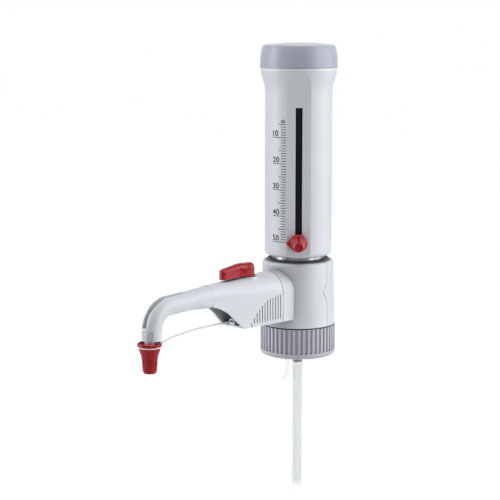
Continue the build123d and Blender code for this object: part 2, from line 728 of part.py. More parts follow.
# ---- piston, rod and housing --------------------------------------------------------
with BuildPart() as piston:
    with BuildSketch(Plane.XZ):
        with BuildLine():
            Polyline((0, piston_bottom), (bore_radius - 1.2, piston_bottom),
                     (bore_radius - running_gap, piston_bottom + 1),
                     (bore_radius - running_gap, piston_bottom + 2.4),
                     (bore_radius - 0.7, piston_bottom + 3), (bore_radius - 0.7, piston_bottom + 7),
                     (bore_radius - running_gap, piston_bottom + 7.6),
                     (bore_radius - running_gap, piston_bottom + piston_length),
                     (rod_radius + seat_gap, piston_bottom + piston_length),
                     (rod_radius + seat_gap, piston_bottom + 3), (0, piston_bottom + 3), close=True)
        make_face()
    revolve(axis=Axis.Z)
write(piston, "piston")

with BuildPart() as piston_rod:
    with BuildSketch(Plane.XZ):
        with BuildLine():
            Polyline((0, piston_bottom + 3.1), (rod_radius, piston_bottom + 3.1),
                     (rod_radius, piston_bottom + piston_length + 0.1),
                     (7.5, piston_bottom + piston_length + 0.1), (7.5, piston_bottom + piston_length + 2.5),
                     (rod_radius, piston_bottom + piston_length + 3.5), (rod_radius, inner_top - 5),
                     (6.5, inner_top - 5), (6.5, inner_top - 0.05), (rod_radius, inner_top - 0.05),
                     (rod_radius, plate_top + 5), (0, plate_top + 5), close=True)
        make_face()
    revolve(axis=Axis.Z)
write(piston_rod, "piston_rod")

with BuildPart() as piston_housing:
    with BuildSketch(Plane.XZ):
        with BuildLine():
            side = Line((housing_radius, housing_bottom), (housing_radius, flare_start))
            flare = Bezier(side @ 1, (housing_radius, 187.0), (28.0, 189.5), (flare_radius, housing_top))
            Polyline(flare @ 1, (0, housing_top), (0, housing_bottom), side @ 0)
        make_face()
    revolve(axis=Axis.Z)
    foot_edge = piston_housing.edges().filter_by(GeomType.CIRCLE).group_by(Axis.Z)[0]
    fillet(foot_edge.sort_by(SortBy.RADIUS)[-1], 3.0)
    # flat scale face that runs out in the flare
    with BuildSketch(facet_side):
        with BuildLine():
            flat = Line((facet_distance, housing_bottom - 2), (facet_distance, flare_start))
            rise = Bezier(flat @ 1, (facet_distance, 187.0), (26.6, 190.5), facet_exit)
            Polyline(rise @ 1, (flare_radius + 4, facet_exit[1]), (flare_radius + 4, housing_bottom - 2),
                     flat @ 0)
        make_face()
    extrude(amount=20, both=True, mode=Mode.SUBTRACT)
    # inside: round, with a flat behind the scale face
    with BuildSketch(Plane.XY.offset(housing_bottom - 1)):
        Circle(inner_radius)
        inset = facet_distance - housing_wall
        with Locations((face_x * (inset + 10), face_y * (inset + 10))):
            Rectangle(20, 60, rotation=SCALE_ANGLE, mode=Mode.SUBTRACT)
    extrude(amount=inner_top - housing_bottom + 1, mode=Mode.SUBTRACT)
    # cup on top for the calibration wheel and the top cap's skirt
    with BuildSketch(Plane.XY.offset(plate_top)):
        Circle(25.0)
    extrude(amount=20, mode=Mode.SUBTRACT)
    with BuildSketch(Plane.XY.offset(inner_top - 1)):
        Circle(rod_radius + seat_gap)
    extrude(amount=20, mode=Mode.SUBTRACT)
    # pointer slot
    with BuildSketch(face_plane(facet_distance - housing_wall - 3)):
        with Locations((0, (slot_bottom + slot_top) / 2)):
            Rectangle(slot_width, slot_top - slot_bottom)
    extrude(amount=10, mode=Mode.SUBTRACT)
write(piston_housing, "piston_housing")

# Toothed rack beside the slot: one tooth for each millilitre.
rack_offset = 4.7
rack_width = 3.0
rack_base = 0.5
rack_depth = 0.95
with BuildPart() as scale_rack:
    with BuildSketch(Plane(origin=(-face_y * (rack_offset - rack_width / 2),
                                   face_x * (rack_offset - rack_width / 2), 0),
                           x_dir=(-face_x, -face_y, 0), z_dir=(-face_y, face_x, 0))):
        with BuildLine():
            back = facet_distance - housing_wall
            first = slot_bottom
            teeth = int((slot_top - slot_bottom) / mm_per_ml)
            outline = [(-back + seat_gap, first), (-back + rack_base, first)]
            for tooth in range(teeth):
                z = first + tooth * mm_per_ml
                outline.append((-back + rack_depth, z + mm_per_ml / 2))
                outline.append((-back + rack_base, z + mm_per_ml))
            outline.append((-back + seat_gap, first + teeth * mm_per_ml))
            Polyline(*outline, close=True)
        make_face()
    extrude(amount=rack_width)
write(scale_rack, "scale_rack")

# ---- pointer ------------------------------------------------------------------------
plate_face = facet_distance + 0.1
with BuildPart() as pointer_plate:
    with BuildSketch(face_plane(plate_face)):
        with BuildLine():
            reach = sqrt(pointer_tip**2 - pointer_radius**2)
            touch_x = -pointer_radius**2 / pointer_tip
            touch_y = pointer_radius * reach / pointer_tip
            upper = Line((-pointer_tip, pointer_z), (touch_x, pointer_z + touch_y))
            ThreePointArc(upper @ 1, (pointer_radius, pointer_z), (touch_x, pointer_z - touch_y))
            Line((touch_x, pointer_z - touch_y), upper @ 0)
        make_face()
    extrude(amount=pointer_thickness)
    chamfer(pointer_plate.faces().filter_by(Plane(origin=(0, 0, 0), z_dir=(face_x, face_y, 0)))
            .sort_by(Axis((0, 0, 0), (face_x, face_y, 0)))[-1].edges(), 0.7)
    with BuildSketch(face_plane(plate_face)):
        with Locations((0, pointer_z)):
            Rectangle(slot_width - 0.3, 2 * nut_half_width)
    extrude(amount=-housing_wall - 0.15)
    with BuildSketch(face_plane(plate_face + pointer_thickness)):
        with Locations((0, pointer_z)):
            Circle(1.6)
    extrude(amount=-10, mode=Mode.SUBTRACT)
write(pointer_plate, "pointer_plate")

nut_back = facet_distance - housing_wall - 0.1
nut_thickness = 1.9
with BuildPart() as clamp_nut:
    with BuildSketch(face_plane(nut_back)):
        with Locations((0, pointer_z)):
            Rectangle(2 * nut_half_width, nut_height)
            Circle(1.6, mode=Mode.SUBTRACT)
    extrude(amount=-nut_thickness)
write(clamp_nut, "clamp_nut")

# Thumb screw: a cone that narrows outwards, on a short threaded shank.
screw_base = plate_face + pointer_thickness + 0.1
screw_length = 21.0
with BuildPart() as thumb_screw:
    with BuildSketch(face_plane(screw_base)):
        with Locations((0, pointer_z)):
            Circle(6.2)
    with BuildSketch(face_plane(screw_base + screw_length * 0.45)):
        with Locations((0, pointer_z)):
            Circle(4.6)
    with BuildSketch(face_plane(screw_base + screw_length)):
        with Locations((0, pointer_z)):
            Circle(3.3)
    loft()
    with BuildSketch(face_plane(screw_base)):
        with Locations((0, pointer_z)):
            Circle(1.55)
    extrude(amount=-pointer_thickness - housing_wall - 1.6)
write(thumb_screw, "thumb_screw")

# ---- top ----------------------------------------------------------------------------
wheel_radius = 13.0
with BuildPart() as calibration_wheel:
    with BuildSketch(Plane.XY.offset(plate_top + 0.1)):
        Circle(wheel_radius)
        with PolarLocations(wheel_radius, 12):
            Rectangle(1.6, 1.6, mode=Mode.SUBTRACT)
        Circle(rod_radius + running_gap, mode=Mode.SUBTRACT)
    extrude(amount=5.5)
write(calibration_wheel, "calibration_wheel")

cap_base = housing_top + 0.15
with BuildPart() as top_cap:
    with BuildSketch(Plane.XZ):
        with BuildLine():
            wall = Spline((29.0, cap_base), (28.85, 204.2), (28.2, 209.8), (27.3, 213.0))
            shoulder = ThreePointArc(wall @ 1, (26.6, 214.4), (25.2, 215.0))
            crown = Spline(shoulder @ 1, (13, 216.05), (0, 216.4), tangents=((-1, 0.08), (-1, 0)))
            Polyline(crown @ 1, (0, 213.6), (22.9, 212.6), (22.9, plate_top + 1), (24.9, plate_top + 1),
                     (24.9, cap_base), wall @ 0)
        make_face()
    revolve(axis=Axis.Z)
write(top_cap, "top_cap")
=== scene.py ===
import json
from math import cos, pi, radians, sin

import bmesh
import bpy
from mathutils import Matrix, Vector


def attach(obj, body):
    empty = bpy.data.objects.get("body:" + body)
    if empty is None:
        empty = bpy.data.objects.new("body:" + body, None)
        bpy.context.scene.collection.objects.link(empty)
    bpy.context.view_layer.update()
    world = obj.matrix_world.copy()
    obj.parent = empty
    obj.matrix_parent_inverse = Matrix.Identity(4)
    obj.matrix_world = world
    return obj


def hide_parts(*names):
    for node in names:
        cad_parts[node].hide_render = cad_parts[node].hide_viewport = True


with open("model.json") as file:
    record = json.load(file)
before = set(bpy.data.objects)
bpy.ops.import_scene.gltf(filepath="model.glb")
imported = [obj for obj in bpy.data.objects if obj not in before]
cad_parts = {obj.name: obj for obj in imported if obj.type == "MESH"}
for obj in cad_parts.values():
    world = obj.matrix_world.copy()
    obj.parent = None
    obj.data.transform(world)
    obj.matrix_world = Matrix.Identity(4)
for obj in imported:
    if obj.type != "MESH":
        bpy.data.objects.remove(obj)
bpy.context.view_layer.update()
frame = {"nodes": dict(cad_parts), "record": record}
mm = 0.001
print("frame loaded:", len(frame["nodes"]), "nodes")

camera = {
    "turn": -49.0,         # round the bottle axis, in degrees
    "sideways": -36.4,     # beside the bottle axis, mm
    "distance": 1138.0,    # from the axis, mm
    "height": 238.7,
    "tilt": 8.9,           # looking down
    "lens": 109.4,
    "sensor": 36.0,
    "clip": (0.05, 20.0),  # nearest and farthest that is seen, m
}


def makeCamera():
    data = bpy.data.cameras.new("studioCamera")
    data.lens = camera["lens"]
    data.sensor_width = camera["sensor"]
    data.clip_start, data.clip_end = camera["clip"]
    cam = bpy.data.objects.new("studioCamera", data)
    bpy.context.collection.objects.link(cam)
    turn = Matrix.Rotation(radians(camera["turn"]), 4, "Z")
    cam.location = turn @ (Vector((camera["sideways"], -camera["distance"], camera["height"])) * mm)
    cam.rotation_euler = (turn @ Matrix.Rotation(radians(90 - camera["tilt"]), 4, "X")).to_euler()
    bpy.context.scene.camera = cam


makeCamera()
print("camera placed")


def paint(red, green, blue):
    # display colour 0..255 to the shader's linear colour
    def linear(value):
        value /= 255
        return value / 12.92 if value <= 0.04045 else ((value + 0.055) / 1.055) ** 2.4

    return (linear(red), linear(green), linear(blue), 1.0)


def put(tree, value, socket):
    # links another node's output to the socket, or sets it to a fixed value
    if isinstance(value, bpy.types.NodeSocket):
        tree.links.new(value, socket)
    else:
        socket.default_value = value


def mathNode(tree, operation, first, second=0.0):
    made = tree.nodes.new("ShaderNodeMath")
    made.operation = operation
    put(tree, first, made.inputs[0])
    put(tree, second, made.inputs[1])
    return made.outputs[0]


def vectorNode(tree, operation, first, second=(0, 0, 0)):
    made = tree.nodes.new("ShaderNodeVectorMath")
    made.operation = operation
    put(tree, first, made.inputs[0])
    put(tree, second, made.inputs[1])
    return made.outputs


def combine(tree, x, y, z):
    made = tree.nodes.new("ShaderNodeCombineXYZ")
    for value, socket in zip((x, y, z), made.inputs):
        put(tree, value, socket)
    return made.outputs[0]


def separate(tree, vector):
    made = tree.nodes.new("ShaderNodeSeparateXYZ")
    put(tree, vector, made.inputs[0])
    return made.outputs


def mapRange(tree, value, start, end, low=0, high=1, smooth=False):
    # low up to the start and high from the end on
    made = tree.nodes.new("ShaderNodeMapRange")
    made.interpolation_type = "SMOOTHSTEP" if smooth else "LINEAR"
    put(tree, value, made.inputs["Value"])
    put(tree, start, made.inputs["From Min"])
    put(tree, end, made.inputs["From Max"])
    put(tree, low, made.inputs["To Min"])
    put(tree, high, made.inputs["To Max"])
    return made.outputs[0]


def mixNode(tree, kind, share, first, second, blend="MIX"):
    made = tree.nodes.new("ShaderNodeMix")
    made.data_type = kind
    made.blend_type = blend
    put(tree, share, made.inputs["Factor"])
    put(tree, first, made.inputs["A"])
    put(tree, second, made.inputs["B"])
    return made.outputs["Result"]


def noiseNode(tree, vector, scale, detail):
    made = tree.nodes.new("ShaderNodeTexNoise")
    put(tree, vector, made.inputs["Vector"])
    put(tree, scale, made.inputs["Scale"])
    put(tree, detail, made.inputs["Detail"])
    return made.outputs["Fac"]


def newGroup(name, inputs, outputs):
    group = bpy.data.node_groups.new(name, "ShaderNodeTree")
    kinds = {"float": "NodeSocketFloat", "color": "NodeSocketColor", "vector": "NodeSocketVector"}
    for label, kind, default in inputs:
        socket = group.interface.new_socket(label, in_out="INPUT", socket_type=kinds[kind])
        socket.default_value = default
    for label, kind in outputs:
        group.interface.new_socket(label, in_out="OUTPUT", socket_type=kinds[kind])
    return group, group.nodes.new("NodeGroupInput").outputs, group.nodes.new("NodeGroupOutput").inputs


grainDetail = {"fine": 3.0, "slow": 2.0}


def makeGrainGroup():
    # fine eroded mould texture and slow unevenness of the moulded wall
    group, ask, give = newGroup(
        "mouldGrain",
        [("Vector", "vector", (0, 0, 0)), ("Fine Scale", "float", 900.0), ("Slow Scale", "float", 25.0),
         ("Slow Share", "float", 0.5)],
        [("Height", "float"), ("Mottle", "float")])
    fine = noiseNode(group, ask["Vector"], ask["Fine Scale"], grainDetail["fine"])
    slow = noiseNode(group, ask["Vector"], ask["Slow Scale"], grainDetail["slow"])
    height = mathNode(group, "ADD", fine, mathNode(group, "MULTIPLY", slow, ask["Slow Share"]))
    put(group, height, give["Height"])
    put(group, slow, give["Mottle"])
    return group


wearAndShadeMask = {
    "ridge": (0.53, 0.62),  # pointiness at which rubbing starts and is full; on the grey ring's flutes the rubbing is painted highlight
    "deepest": 0.15,        # openness at which a hollow's painted shade is full
    "samples": 8,
    "speckleScale": 260.0,
    "speckleDetail": 4.0,
}


def makeWearGroup():
    # rubbed ridges broken up by noise, which on the grey ring's flutes are painted highlights, and painted
    # shade in hollows
    group, ask, give = newGroup(
        "rubbedEdges",
        [("Vector", "vector", (0, 0, 0)), ("Color", "color", (0.5, 0.5, 0.5, 1)),
         ("Rubbed Color", "color", (0.8, 0.8, 0.8, 1)), ("Amount", "float", 0.3),
         ("Hollow Color", "color", (0.25, 0.25, 0.28, 1)), ("Hollow Shade", "float", 0.2),
         ("Reach", "float", 0.01), ("Open", "float", 0.85)],
        [("Color", "color"), ("Rub", "float")])
    geometry = group.nodes.new("ShaderNodeNewGeometry")
    ridge = mapRange(group, geometry.outputs["Pointiness"], *wearAndShadeMask["ridge"])
    cover = group.nodes.new("ShaderNodeAmbientOcclusion")
    cover.samples = wearAndShadeMask["samples"]
    put(group, ask["Reach"], cover.inputs["Distance"])
    hollow = mapRange(group, cover.outputs["AO"], ask["Open"], wearAndShadeMask["deepest"])
    speckle = noiseNode(group, ask["Vector"], wearAndShadeMask["speckleScale"], wearAndShadeMask["speckleDetail"])
    # rubbing on ridges; on the grey ring's flutes it paints the ridges' highlights
    rub = mathNode(group, "MULTIPLY", mathNode(group, "MULTIPLY", ridge, speckle), ask["Amount"])
    lighter = mixNode(group, "RGBA", rub, ask["Color"], ask["Rubbed Color"])
    # painted shade in hollows, from ambient occlusion
    shade = mathNode(group, "MULTIPLY", hollow, ask["Hollow Shade"])
    darker = mixNode(group, "RGBA", shade, lighter, ask["Hollow Color"], "MULTIPLY")
    put(group, darker, give["Color"])
    put(group, rub, give["Rub"])
    return group


def turnedNormal(group, direction, share, facing):
    # turns the surface normal towards an object-space direction, only where it faces that way already
    outward = group.nodes.new("ShaderNodeVectorTransform")
    outward.vector_type = "NORMAL"
    outward.convert_from = "OBJECT"
    outward.convert_to = "WORLD"
    put(group, direction, outward.inputs[0])
    unit = vectorNode(group, "NORMALIZE", outward.outputs[0])["Vector"]
    own = group.nodes.new("ShaderNodeNewGeometry").outputs["Normal"]
    match = vectorNode(group, "DOT_PRODUCT", unit, own)["Value"]
    wall = mathNode(group, "GREATER_THAN", match, facing)
    blend = mixNode(group, "VECTOR", mathNode(group, "MULTIPLY", share, wall), own, unit)
    return vectorNode(group, "NORMALIZE", blend)["Vector"]


# the block's outer wall and the thumb scoops in it, in mm
scoop = {
    "radius": 27.896,      # the wall's, at height 0
    "taper": -0.01848,     # its change with height
    "depth": 1.12,
    "height": 31.0,        # middle of the scoops
    "reach": 16.0,         # half their height
    "deepShare": 0.25,     # how far the normal is still turned at the full depth
    "outside": 0.2,        # slack outside the wall
    "inside": 0.1,         # slack under the scoop's floor
    "facing": 0.9,         # cosine between the surface and the wall's normal
}


def makeScoopGroup():
    # the scoop's shading runs softly into the round wall: the normal turns with the depth
    group, _, give = newGroup("scoopRounding", [], [("Normal", "vector")])
    place = group.nodes.new("ShaderNodeTexCoord").outputs["Object"]
    flat = vectorNode(group, "MULTIPLY", place, (1, 1, 0))["Vector"]
    away = vectorNode(group, "LENGTH", flat)["Value"]
    height = separate(group, place)["Z"]
    wall = mathNode(group, "MULTIPLY", height, scoop["taper"])
    wall = mathNode(group, "ADD", wall, scoop["radius"] * mm)
    sunk = mathNode(group, "SUBTRACT", wall, away)
    share = mapRange(group, sunk, 0, scoop["depth"] * mm, 1, scoop["deepShare"], smooth=True)
    # only on the outer wall, at the height of the scoops
    rise = mathNode(group, "SUBTRACT", height, scoop["height"] * mm)
    limits = (mathNode(group, "LESS_THAN", mathNode(group, "ABSOLUTE", rise), scoop["reach"] * mm),
              mathNode(group, "LESS_THAN", sunk, (scoop["depth"] + scoop["inside"]) * mm),
              mathNode(group, "GREATER_THAN", sunk, -scoop["outside"] * mm))
    for limit in limits:
        share = mathNode(group, "MULTIPLY", share, limit)
    put(group, turnedNormal(group, flat, share, scoop["facing"]), give["Normal"])
    return group


# the arm's neck, where the trough meets the round part, in mm
neck = {
    "upper": 4.0,          # depth under the arm's axis at which the rounding starts
    "reach": 24.0,         # how far it runs back along the trough
    "lead": 0.3,           # how far ahead of the corner it starts
    "facing": 0.55,        # cosine between the surface and the round part's normal
    "fade": 5.0,           # length over which the trough's painted shade sets in
    "slimShade": 0.12,     # share of the trough's painted shade on the round part
}


def makeNeckGroup():
    # the trough's shading runs into that of the round part ahead of it
    group, ask, give = newGroup("neckRounding", [("Place", "float", 0.0), ("Axis", "float", 0.0)],
                                [("Normal", "vector"), ("Trough", "float")])
    place = separate(group, group.nodes.new("ShaderNodeTexCoord").outputs["Object"])
    back = mathNode(group, "SUBTRACT", place["X"], ask["Place"])
    near = mapRange(group, back, 0, neck["reach"] * mm, 1, 0, smooth=True)
    behind = mathNode(group, "GREATER_THAN", back, -neck["lead"] * mm)
    rise = mathNode(group, "SUBTRACT", place["Z"], ask["Axis"])
    spoke = combine(group, 0, place["Y"], rise)
    upper = mapRange(group, rise, -neck["upper"] * mm, 0, smooth=True)
    share = mathNode(group, "MULTIPLY", mathNode(group, "MULTIPLY", near, behind), upper)
    put(group, turnedNormal(group, spoke, share, neck["facing"]), give["Normal"])
    # share of the painted shade: small on the round part, full in the trough
    put(group, mapRange(group, back, -neck["fade"] * mm, 0, neck["slimShade"], 1), give["Trough"])
    return group


grainGroup = makeGrainGroup()
wearAndShadeGroup = makeWearGroup()
scoopGroup = makeScoopGroup()
neckGroup = makeNeckGroup()


def useGroup(tree, group, **values):
    made = tree.nodes.new("ShaderNodeGroup")
    made.node_tree = group
    for label, value in values.items():
        put(tree, value, made.inputs[label.replace("_", " ")])
    return made


# what every plastic shares
plasticBase = {
    "topBand": 0.4,        # height over which the painted light and shade of the top sets in, mm
    "rubRough": 0.2,       # roughness that full rubbing adds
    "bumpDepth": 0.2,      # mm
    "edgeBlend": 0.35,     # how early a thin wall looks dense
}


def topColor(tree, place, color, height, above):
    # painted light and shade: another colour above a height, in mm
    start = (height - plasticBase["topBand"]) * mm
    share = mapRange(tree, separate(tree, place)["Z"], start, height * mm)
    return mixNode(tree, "RGBA", share, color, above)


def roughness(tree, grain, wearAndShade, look):
    rough = mathNode(tree, "MULTIPLY", grain.outputs["Mottle"], look["roughSpread"])
    rough = mathNode(tree, "ADD", rough, look["rough"])
    rubbed = mathNode(tree, "MULTIPLY", wearAndShade.outputs["Rub"], plasticBase["rubRough"])
    return mathNode(tree, "ADD", rough, rubbed)


def grainNormal(tree, grain, wearAndShade, look):
    # the grain's bump over the plain, scooped or rounded normal
    bump = tree.nodes.new("ShaderNodeBump")
    bump.inputs["Strength"].default_value = look["bump"]
    bump.inputs["Distance"].default_value = plasticBase["bumpDepth"] * mm
    put(tree, grain.outputs["Height"], bump.inputs["Height"])
    if look["scoop"]:
        put(tree, useGroup(tree, scoopGroup).outputs["Normal"], bump.inputs["Normal"])
    if look["crease"]:
        corner, axis = look["crease"]
        even = useGroup(tree, neckGroup, Place=corner * mm, Axis=axis * mm)
        put(tree, even.outputs["Normal"], bump.inputs["Normal"])
        # the trough's painted shade fades out on the round part
        shade = mathNode(tree, "MULTIPLY", even.outputs["Trough"], look["hollow"])
        put(tree, shade, wearAndShade.inputs["Hollow Shade"])
    return bump.outputs["Normal"]


def filmAlpha(tree, clear, dense):
    # thin clear wall: denser where it is seen edge on
    edge = tree.nodes.new("ShaderNodeLayerWeight")
    edge.inputs["Blend"].default_value = plasticBase["edgeBlend"]
    alpha = mathNode(tree, "MULTIPLY", edge.outputs["Facing"], dense - clear)
    return mathNode(tree, "ADD", alpha, clear)


def plastic(name, look):
    material = bpy.data.materials.new(name)
    material.use_nodes = True
    tree = material.node_tree
    shader = tree.nodes["Principled BSDF"]
    place = tree.nodes.new("ShaderNodeTexCoord").outputs["Object"]
    grain = useGroup(tree, grainGroup, Vector=place, Fine_Scale=look["grain"], Slow_Scale=look["slow"])
    wearAndShade = useGroup(tree, wearAndShadeGroup, Vector=place, Color=look["color"], Rubbed_Color=look["rubbed"],
                    Amount=look["rub"], Hollow_Color=look["hollowColor"], Hollow_Shade=look["hollow"],
                    Reach=look["reach"] * mm, Open=look["open"])
    # slow change of tone over the wall
    amount = mathNode(tree, "MULTIPLY", grain.outputs["Mottle"], look["mottle"])
    color = mixNode(tree, "RGBA", amount, wearAndShade.outputs["Color"], look["toneColor"], "MULTIPLY")
    # painted light and shade above a height: a lit top, a rim highlight, shade inside the housing
    if look["top"]:
        color = topColor(tree, place, color, *look["top"])
    put(tree, color, shader.inputs["Base Color"])
    put(tree, roughness(tree, grain, wearAndShade, look), shader.inputs["Roughness"])
    if look["bump"]:
        put(tree, grainNormal(tree, grain, wearAndShade, look), shader.inputs["Normal"])
    if look["film"]:
        put(tree, filmAlpha(tree, *look["film"]), shader.inputs["Alpha"])
    for socket, value in look["sockets"].items():
        shader.inputs[socket].default_value = value
    return material


lookBase = {
    "rub": 0.5,                          # strength of the rubbed edges; on the grey ring it paints highlights on the flutes' ridges
    "hollow": 0.8,                       # strength of the painted shade in hollows
    "hollowColor": (0.2, 0.2, 0.22, 1),
    "reach": 12.0,                       # how far away a wall still throws painted shade into a hollow, mm
    "open": 0.85,                        # openness under which the painted shade starts
    "grain": 1100.0,
    "slow": 22.0,
    "mottle": 0.12,
    "toneColor": (0.82, 0.84, 0.88, 1),
    "rough": 0.3,
    "roughSpread": 0.12,
    "bump": 0.08,
    "film": None,                        # alpha of a thin wall seen square on and edge on
    "scoop": False,                      # soft shading of the thumb scoops
    "top": None,                         # height in mm and the colour above it, painted light and shade
    "crease": None,                      # x and axis height of the arm's neck, mm
    "sockets": {},
}
rubbedTone = {"gain": 1.25, "lift": 0.03}  # a rubbed edge's colour over the plain one
acrylicIor = 1.49


def makeLook(color, **changes):
    paler = [min(1, channel * rubbedTone["gain"] + rubbedTone["lift"]) for channel in color[:3]]
    values = lookBase | {"color": color, "rubbed": (*paler, 1)} | changes
    values["sockets"] = {"IOR": acrylicIor} | values["sockets"]
    return values


whiteRough = 0.36
looks = {
    "shell": makeLook(paint(219, 223, 229), rough=whiteRough,
                      sockets={"Subsurface Weight": 0.05, "Subsurface Radius": (0.004, 0.003, 0.003)}),
    # the cap's paler colour above 214.6 mm is painted light on its top face
    "cap": makeLook(paint(172, 178, 192), top=(214.6, paint(206, 209, 217))),
    # grey ring: strong pale rubbing paints highlights on the flutes' ridges, and hollow with a short reach
    # paints shade in their grooves
    "grey": makeLook(paint(192, 192, 203), rough=0.34, bump=0.1, rub=1.2, rubbed=paint(226, 226, 236),
                     hollow=0.4, reach=3.0),
    "seal": makeLook(paint(26, 26, 28), rough=0.55),
    "white": makeLook(paint(235, 235, 230), rough=0.35),
    "dark": makeLook(paint(60, 60, 66), rough=0.34),
    # the dark colour above 66 mm is painted shade on the sleeve inside the housing
    "gloss_dark": makeLook(paint(172, 174, 182), rough=0.2, roughSpread=0.06, bump=0.02, hollow=0.5,
                           reach=5.0, top=(66.0, paint(40, 40, 44)), sockets={"Metallic": 0.8}),
    "glass": makeLook(paint(240, 248, 250), rough=0.04, roughSpread=0.02, bump=0, hollow=0.0,
                      sockets={"Transmission Weight": 0.95, "IOR": 1.47}),
    "ceramic": makeLook(paint(236, 232, 222), rough=0.15),
    "clear": makeLook(paint(242, 252, 255), roughSpread=0.04, bump=0, hollow=0.0, mottle=0.02,
                      film=(0.07, 0.3), sockets={"IOR": 1.35}),
    "red": makeLook(paint(166, 6, 26), rough=0.22, roughSpread=0.08, bump=0.05, hollow=0.5,
                    toneColor=(0.75, 0.6, 0.62, 1), rubbed=paint(190, 50, 70), reach=5.0,
                    sockets={"Specular IOR Level": 0.34}),
    "strap": makeLook(paint(232, 233, 234), rough=0.4),
    "metal": makeLook(paint(178, 180, 184), sockets={"Metallic": 1.0}),
    "ink": makeLook(paint(30, 34, 50), rough=0.5, bump=0, hollow=0.0, rub=0.0),
}
materials = {name: plastic(name + "Finish", values) for name, values in looks.items()}
print("materials:", len(materials))

# nodes that look different from their slot
shell = {"rough": whiteRough, "sockets": looks["shell"]["sockets"]}
nodeLooks = {
    "strap_ring": makeLook(paint(250, 250, 250), rough=0.35),
    "filling_valve": makeLook(paint(234, 240, 243)),
    "nozzle_guard": makeLook(paint(244, 246, 250), hollow=0.0, bump=0.03, film=(0.5, 0.85)),
    "nozzle_sleeve": makeLook(paint(236, 228, 252), hollow=0.0, bump=0.03, film=(0.9, 1.0)),
    "discharge_tube": makeLook(paint(244, 245, 250), rough=0.25, hollow=0.0, bump=0.03, film=(0.9, 1.0)),
    # the near white above 197 mm is a painted highlight on the housing's rim
    "piston_housing": makeLook(paint(219, 223, 229), top=(197.0, paint(254, 252, 254)), **shell),
    "scale_rack": makeLook(paint(26, 24, 24), rough=0.5),
    # block covers: the long reach and near black colour paint the arm's shadow and the shade in corners
    "block_front": makeLook(paint(224, 228, 234), reach=48.0, open=1.0, hollow=1.0,
                            hollowColor=(0.02, 0.03, 0.04, 1), scoop=True, **shell),
    "block_rear": makeLook(paint(219, 223, 229), reach=48.0, hollow=1.0,
                           hollowColor=(0.04, 0.05, 0.06, 1), scoop=True, **shell),
    # arm cover: the dark colour paints shade inside the trough, which the crease fades out on the round part
    "arm_cover": makeLook(paint(219, 223, 229), reach=20.0, hollow=1.0,
                          hollowColor=(0.08, 0.08, 0.09, 1), crease=(-104.0, 39.6), **shell),
}


def dressNodes():
    slots = {entry["node"]: entry["material_slot"] for entry in frame["record"]["subparts"]}
    for name, piece in frame["nodes"].items():
        piece.data.materials.clear()
        piece.data.materials.append(materials[slots[name]])
    for name, values in nodeLooks.items():
        frame["nodes"][name].data.materials[0] = plastic(name + "Finish", values)


dressNodes()
print("nodes dressed:", len(frame["nodes"]))

# moulded pieces have rounded edges: width in mm, segments, angle limit
softEdges = {
    "screw_cap": (0.35, 2, 40),
    "pointer_plate": (0.3, 2, 40),
}
weldReach = 0.02  # mm


def softenEdges():
    for name, (width, segments, angle) in softEdges.items():
        piece = frame["nodes"][name]
        weld = piece.modifiers.new("weld", "WELD")
        weld.merge_threshold = weldReach * mm
        bevel = piece.modifiers.new("round", "BEVEL")
        bevel.width = width * mm
        bevel.segments = segments
        bevel.limit_method = "ANGLE"
        bevel.angle_limit = radians(angle)
        bevel.harden_normals = True
        even = piece.modifiers.new("even", "WEIGHTED_NORMAL")
        even.keep_sharp = True


softenEdges()
print("edges softened:", len(softEdges))


def link(name, mesh, material):
    piece = bpy.data.objects.new(name, mesh)
    bpy.context.collection.objects.link(piece)
    mesh.materials.clear()
    mesh.materials.append(material)
    return piece


def closeShape(shape, merge=0.0):
    # joins points closer than merge, in mm, and turns every face outwards
    if merge:
        bmesh.ops.remove_doubles(shape, verts=shape.verts, dist=merge * mm)
    bmesh.ops.recalc_face_normals(shape, faces=shape.faces)


def makePiece(shape, name, material, crease=None):
    # makes an object of a finished shape; edges stay sharp above the crease angle
    mesh = bpy.data.meshes.new(name)
    shape.to_mesh(mesh)
    shape.free()
    if crease:
        for face in mesh.polygons:
            face.use_smooth = True
        mesh.set_sharp_from_angle(angle=radians(crease))
    return link(name, mesh, material)


def joinRings(shape, rings):
    # skin between rings of the same number of points
    count = len(rings[0])
    for near, far in zip(rings, rings[1:]):
        for corner in range(count):
            after = (corner + 1) % count
            shape.faces.new((near[corner], near[after], far[after], far[corner]))
    shape.faces.new(rings[0])
    shape.faces.new(rings[-1])


def turnProfile(shape, profile, steps, axisX=0.0):
    # adds a solid of revolution about a vertical line at x = axisX; the profile is radius, height in mm
    rings = []
    for step in range(steps):
        angle = 2 * pi * step / steps
        rings.append([shape.verts.new(Vector((axisX + r * cos(angle), r * sin(angle), z)) * mm)
                      for r, z in profile])
    closed = profile[0][0] > 0
    for index, near in enumerate(rings):
        far = rings[(index + 1) % steps]
        for corner in range(len(profile) if closed else len(profile) - 1):
            after = (corner + 1) % len(profile)
            shape.faces.new((near[corner], far[corner], far[after], near[after]))


def between(pair, share):
    return pair[0] * (1 - share) + pair[1] * share


